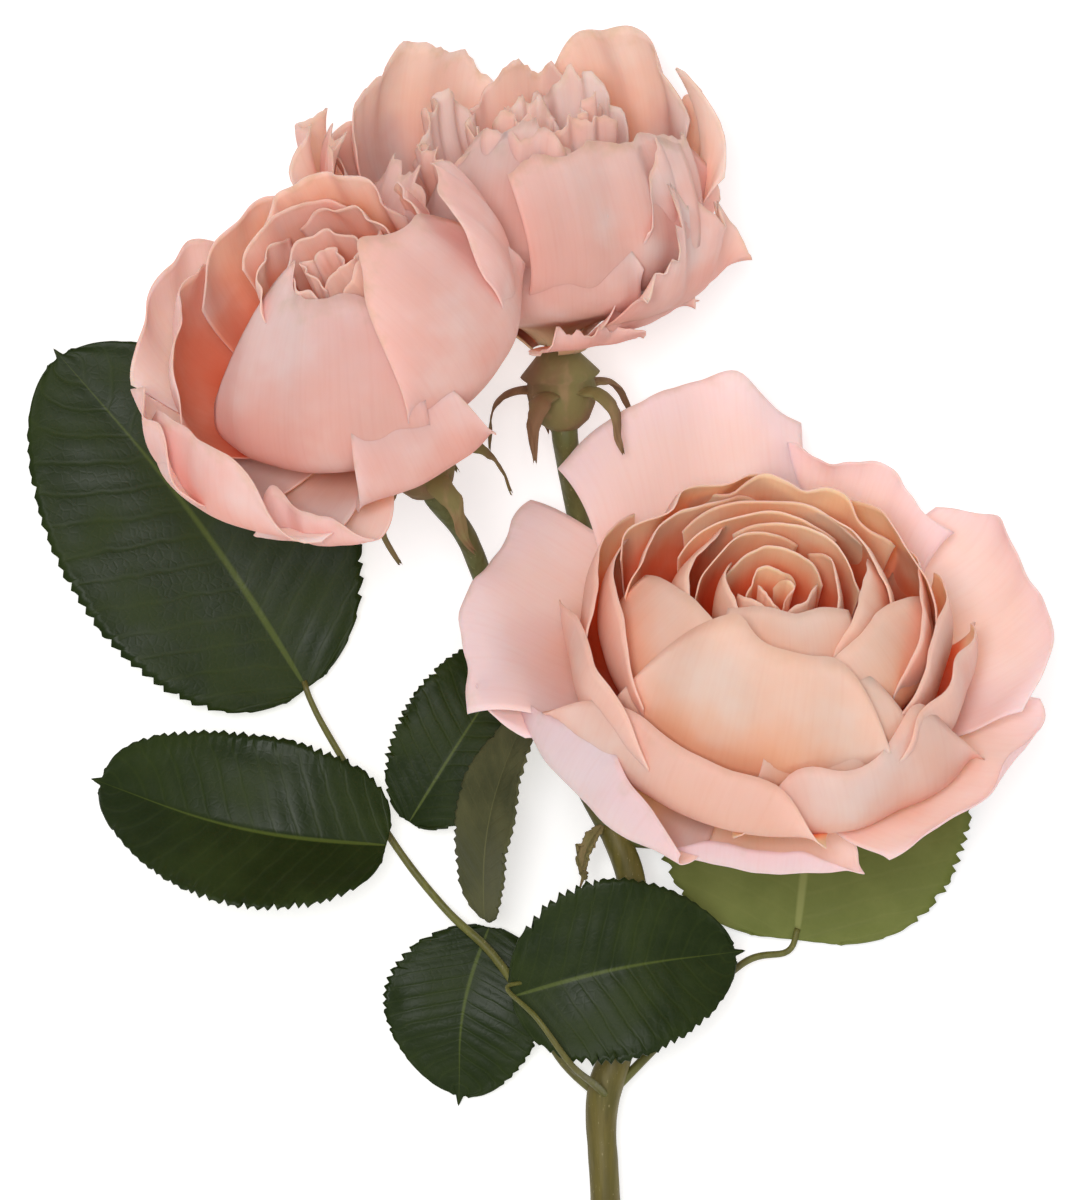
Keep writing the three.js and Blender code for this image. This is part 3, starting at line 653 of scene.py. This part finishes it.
set_petals("main_ball", main_bloom, peach_faces, "main_inner_petals", [
    (1, 4, 64, sized(10, 18, 8.8, 30.2, 12)),
    (2, 4.5, 348, sized(13.5, 19, 9.4, 30.0, 11)),
    (0, 5, 165, sized(12.5, 18, 10.2, 30.0, 12)),
    (0, 5.4, 105, sized(12, 18, 10.8, 30.2, 13)),
    (3, 6, 217, sized(20, 17, 11.2, 30, 16)),
    (0, 6.4, 36, sized(14, 18, 12, 30, 12)),
    (0, 6.8, 326, sized(19, 17, 11.8, 29.4, 14)),
    (4, 7.5, 260, sized(23, 15.5, 12.4, 30.8, 22, tip=0.03, tip_at=-0.3, ruffle=0.7, waves=3, lean=58,
                        round=0.26, corner=5)),
    (0, 7.9, 292, sized(23.8, 14.5, 14.6, 27, 14, ruffle=0.8, waves=3, lean=56, round=0.4, corner=4)),
], round=0.1, ruffle=0.3, roll=0.9, waves=2, crinkle=0.9, lean=70, lap=0.6)
set_petals("main_cup", main_bloom, [rose_outside, peach_inside], "main_inner_petals", [
    (1, 8, 184, sized(19.8, 14, 19.6, 28.2, 17)),
    (2, 8.5, 0, sized(18.5, 15, 17, 28.6, 15)),
    (0, 9, 138, sized(16.5, 16, 15.5, 29.6, 14)),
    (0, 9.4, 86, sized(14.5, 17, 13, 29.8, 15)),
    (0, 9.8, 350, sized(20.5, 13, 19.6, 27.4, 16)),
    (3, 10.2, 122, sized(18.5, 17, 17, 30.2, 16, ruffle=1.2, waves=3)),
    (0, 10.6, 170, sized(21.5, 13, 22, 27.6, 16)),
    (5, 11, 30, sized(19.5, 15, 17.5, 29.4, 16, ruffle=0.6)),
    (0, 11.4, 204, sized(23.5, 12, 24.6, 25, 16)),
    (0, 11.8, 338, sized(23, 12, 22.8, 24.4, 16, ruffle=0.8, waves=3)),
    (0, 12.2, 80, sized(17, 16, 16.5, 29.8, 15, ruffle=1.2, waves=3)),
    (4, 12.5, 242, sized(27, 12, 24.6, 22.4, 23, edge=0.8, round=0.26, corner=5)),
    (0, 12.8, 298, sized(26.6, 11, 23.4, 21.5, 20, tip=0.06, tip_at=0.5, ruffle=1.0, waves=3, roll=1.6,
                         round=0.26, corner=5)),
], round=0.12, ruffle=0.4, roll=1.3, waves=2, crinkle=1.2, lean=52, lap=0.7)

# ---- Main bloom, guard petals ----
# Eight broad outer petals, paler and pinker than the heart, opened wide, with rolled lips and soft waves.
# They grow from the foot of the same cone, below the cup.
pink_outside = petal_face(
    "pink petal outside", (0.9, 0.62, 0.5, 1), (0.93, 0.6, 0.57, 1), (0.93, 0.57, 0.58, 1), 0.4, 0.25, 0.4
)
pink_inside = petal_face(
    "pink petal inside", (0.93, 0.42, 0.24, 1), (0.95, 0.61, 0.57, 1), (0.95, 0.62, 0.64, 1), 0.5, 0.25, 0.45
)
set_petals("main_guard", main_bloom, [pink_outside, pink_inside], "main_guard_petals", [
    (1, 13, 111, sized(25, 16, 33, 30, 15.5, roll=3.5, tip=0.07, tip_at=-0.5, edge=2.0)),
    (2, 14, 18, sized(28, 13, 34, 22, 20, roll=1.5, tip=0.08, tip_at=0.45)),
    (3, 15, 168, sized(28, 12, 35, 18, 18, roll=4.0, edge=2.0, tip=0.04)),
    (4, 16, 326, sized(29, 11, 34, 16, 19, roll=1, tip=0.04, tip_at=0.2)),
    (5, 17, 222, sized(30, 8, 28.5, 17, 17, roll=0.5, edge=1.0)),
    (6, 18, 268, sized(27, 6, 27, 10, 14, roll=1)),
    (7, 19, 66, sized(25, 14, 26, 26, 13, roll=3.0, ruffle=1.4)),
    (0, 18.5, 185, sized(27, 9, 36, 14, 10, roll=1, ragged=0.1, ruffle=1.2)),
], crinkle=1.8, ruffle=0.7, waves=2, round=0.16, columns=44, rows=44)

# ---- Left bloom ----
# The half open bloom that leans to the left: salmon petals still closed round a crinkled heart. The outer
# ones open wider and are pinker inside, and the rims are slightly browned.
salmon_outside = petal_face(
    "salmon petal outside", (0.82, 0.43, 0.26, 1), (0.86, 0.37, 0.31, 1), (0.9, 0.48, 0.44, 1), 0.46, 0.3, 0.5
)
salmon_inside = petal_face(
    "salmon petal inside", (0.78, 0.11, 0.04, 1), (0.9, 0.36, 0.25, 1), (0.94, 0.56, 0.49, 1), 0.7, 0.3, 0.3
)
rosy_inside = petal_face(
    "rosy petal inside", (0.9, 0.3, 0.16, 1), (0.96, 0.66, 0.6, 1), (0.96, 0.68, 0.66, 1), 0.36, 0.3, 0.4
)
set_petals("left_heart", left_bloom, [rose_outside, salmon_inside], "left_petals", [
    (1, 0, 70, sized(2.0, 22, 1.2, 32.8, 4)),
    (0, 0.6, 200, sized(2.8, 22, 2.0, 33.2, 4)),
    (0, 1.0, 320, sized(3.8, 22, 2.8, 33.0, 5)),
    (2, 1.4, 100, sized(4.8, 22, 3.8, 33.8, 7)),
    (0, 1.8, 215, sized(5.8, 22, 4.4, 33.2, 6)),
    (0, 2.2, 340, sized(6.8, 22, 5.2, 33.8, 7)),
    (3, 2.6, 60, sized(8, 22, 6.6, 34.8, 9)),
    (0, 3.0, 170, sized(8.5, 22, 7.4, 34, 8)),
    (0, 3.2, 120, sized(9.5, 22, 9.0, 35.5, 9)),
], wrap=1.5, round=0.1, ruffle=0.5, roll=0.9, waves=3, crinkle=0.9, lean=82, lap=0.6)
left_closed = [
    (2, 4, 90, sized(11.5, 20, 10.5, 37.5, 13, ruffle=1.2, waves=4)),
    (0, 4.3, 18, sized(14, 19, 12, 36, 11)),
    (1, 4.6, 250, sized(21.5, 16, 6.4, 32.4, 19, lean=56, tip=0.04, tip_at=-0.6, round=0.22, corner=6)),
    (0, 5, 132, sized(16.5, 19, 15, 34.5, 13, lean=64)),
    (3, 6, 330, sized(20.5, 17, 11.5, 37, 17, lean=56, tip=0.03, tip_at=-0.2, round=0.3, corner=4)),
    (0, 6.6, 12, sized(20, 18, 16.5, 38, 12, lean=60)),
    (4, 7, 172, sized(22.5, 15, 19, 31, 16, lean=52, roll=1.5)),
]
left_open = [
    (5, 8, 152, sized(25, 14, 24, 30, 13, lean=50, roll=2)),
    (0, 7.6, 200, sized(26, 12, 27, 26, 13, lean=46, roll=1.5, ruffle=1.0)),
    (6, 9, 288, sized(22.6, 11, 17.5, 23.4, 11.5, lean=46, round=0.6, corner=5, lap=-0.8)),
    (7, 10, 218, sized(27.5, 11, 26, 24.5, 20, lean=42, round=0.36, corner=4)),
    (0, 10.6, 248, sized(24, 7, 25.5, 14, 9, lean=40, tip=0.08, tip_at=-0.5)),
]
left_form = {"crinkle": 1.0, "ruffle": 0.6, "roll": 0.6, "round": 0.16, "columns": 44, "rows": 44}
left_rounds = [(left_closed, salmon_inside, 1), (left_open, rosy_inside, len(left_closed) + 1)]
for petals, inside, first in left_rounds:
    set_petals("left_guard", left_bloom, [salmon_outside, inside], "left_petals", petals, first, **left_form)

# ---- Top bloom ----
# The oldest bloom, seen from its side: loose, faded petals with crinkled, torn and browned edges round a
# ragged heart.
faded_outside = petal_face(
    "faded petal outside", (0.76, 0.44, 0.26, 1), (0.84, 0.38, 0.32, 1), (0.86, 0.49, 0.44, 1),
    0.42, 0.35, 0.6
)
faded_inside = petal_face(
    "faded petal inside", (0.84, 0.24, 0.14, 1), (0.88, 0.47, 0.4, 1), (0.9, 0.6, 0.54, 1), 0.6, 0.35, 0.6
)
faded_faces = [faded_outside, faded_inside]
set_petals("top_heart", top_bloom, faded_faces, "top_petals", [
    (1, 1, 115, sized(4, 20, 3, 35, 6)),
    (0, 1.3, 230, sized(5, 20, 4.4, 35, 7)),
    (0, 1.6, 350, sized(6, 20, 5.8, 35, 7)),
    (2, 2, 200, sized(7.5, 20, 8, 34, 8)),
    (0, 2.3, 300, sized(8, 20, 8, 35, 8)),
    (0, 2.6, 60, sized(9, 20, 9.5, 37, 9)),
    (3, 3, 160, sized(11, 20, 13, 36, 9)),
    (0, 3.4, 250, sized(12, 20, 11, 34, 9)),
    (0, 3.7, 200, sized(13, 20, 14.5, 32, 8)),
], wrap=1.5, round=0.12, ruffle=1.1, roll=1.2, waves=4, crinkle=1.2, lean=78, ragged=0.05)
set_petals("top_guard", top_bloom, faded_faces, "top_petals", [
    (1, 4, 252, sized(18, 17, 10, 33.5, 15, lean=60)),
    (2, 5, 52, sized(17.5, 22, 15, 42.5, 15, lean=62, roll=1, ragged=0, round=0.2)),
    (3, 6, 140, sized(21, 20, 19.5, 41.5, 18, lean=58, roll=1, ragged=0.02, round=0.14)),
    (0, 6.5, 208, sized(22, 16, 19, 31, 13, lean=54)),
    (4, 7, 298, sized(19, 14, 14.5, 32, 13, lean=54, ragged=0.01, round=0.03, edge=1)),
    (0, 7.4, 272, sized(18, 11, 12, 26, 11, lean=54, edge=2)),
    (5, 8, 22, sized(18.5, 18, 19.5, 34, 12, lean=56, tip=0.13, tip_at=-0.55, roll=2)),
    (0, 8.5, 336, sized(18.5, 15, 17, 31, 11, lean=54)),
    (7, 10, 172, sized(25, 20, 28, 36, 14, lean=50, roll=2, ruffle=1.8, ragged=0.03)),
    (0, 10.1, 156, sized(21.5, 20, 24, 35, 14, lean=54, roll=1.5, ruffle=1.6)),
    (0, 10.3, 190, sized(24, 18, 26, 33, 9, lean=50, roll=1, ruffle=1.5, ragged=0.08)),
    (6, 9, 90, sized(20, 14, 14, 30, 14, lean=46)),
    (0, 9.5, 95, sized(15, 22, 12, 38, 10, lean=60, ruffle=1.4)),
    (8, 11, 330, sized(20, 10, 19.5, 23, 13, lean=42, roll=2.5, ragged=0.12, ruffle=1.6)),
    (0, 11.5, 286, sized(13.5, 5, 14.5, 9, 8, lean=34, roll=1.5, ragged=0.1, ruffle=1.4)),
    (0, 11.7, 320, sized(15, 7, 16, 14, 9, lean=36, roll=2, ragged=0.12, ruffle=1.6)),
], crinkle=1.8, ruffle=1.0, roll=0.8, ragged=0.04, columns=44, rows=44)

# ---- Floor, light and camera ----
# A plain pale floor under soft studio light, seen straight from above. The floor lies a little lower than the
# frame's zero, so that the stem and leaves rest just above it.
FLOOR_SIZE = 3
FLOOR_DROP = 0.2
VIEW_HEIGHT = 0.1548
CAMERA_DISTANCE = 1.3
FOCUS_HEIGHT = 0.02
SENSOR_HEIGHT = 24
bpy.ops.mesh.primitive_plane_add(size=FLOOR_SIZE, location=(0, 0, -FLOOR_DROP * MM))
floor = bpy.context.object
floor.name = "floor"
floor_material, _, floor_shader = plain_material("floor", 0.9, 0.1)
floor_shader.inputs["Base Color"].default_value = (0.7, 0.7, 0.7, 1)
floor_shader.inputs["Emission Color"].default_value = (1, 1, 1, 1)
floor_shader.inputs["Emission Strength"].default_value = 0.5
floor.data.materials.append(floor_material)

world = bpy.data.worlds.new("studio")
bpy.context.scene.world = world
world.use_nodes = True
room_light = world.node_tree.nodes["Background"]
room_light.inputs["Color"].default_value = (1, 0.99, 0.98, 1)
room_light.inputs["Strength"].default_value = 0.5


def soft_box(name, place, size, power):
    """A large round lamp that looks at the middle of the frame."""
    lamp = bpy.data.lights.new(name, "AREA")
    lamp.shape = "DISK"
    lamp.size = size
    lamp.energy = power
    holder = bpy.data.objects.new(name, lamp)
    bpy.context.scene.collection.objects.link(holder)
    holder.location = place
    holder.rotation_euler = (-Vector(place)).to_track_quat("-Z", "Y").to_euler()


soft_box("key", (-0.14, 0.12, 1.35), 0.5, 10)
soft_box("fill", (0.35, -0.95, 0.85), 0.9, 2.6)

camera = bpy.data.cameras.new("camera")
camera_holder = bpy.data.objects.new("camera", camera)
bpy.context.scene.collection.objects.link(camera_holder)
camera.sensor_fit = "VERTICAL"
camera.sensor_height = SENSOR_HEIGHT
camera.lens = SENSOR_HEIGHT * CAMERA_DISTANCE / VIEW_HEIGHT
camera_holder.location = zero + Vector((0, 0, FOCUS_HEIGHT + CAMERA_DISTANCE))
bpy.context.scene.camera = camera_holder
bpy.context.scene.view_settings.view_transform = "Standard"
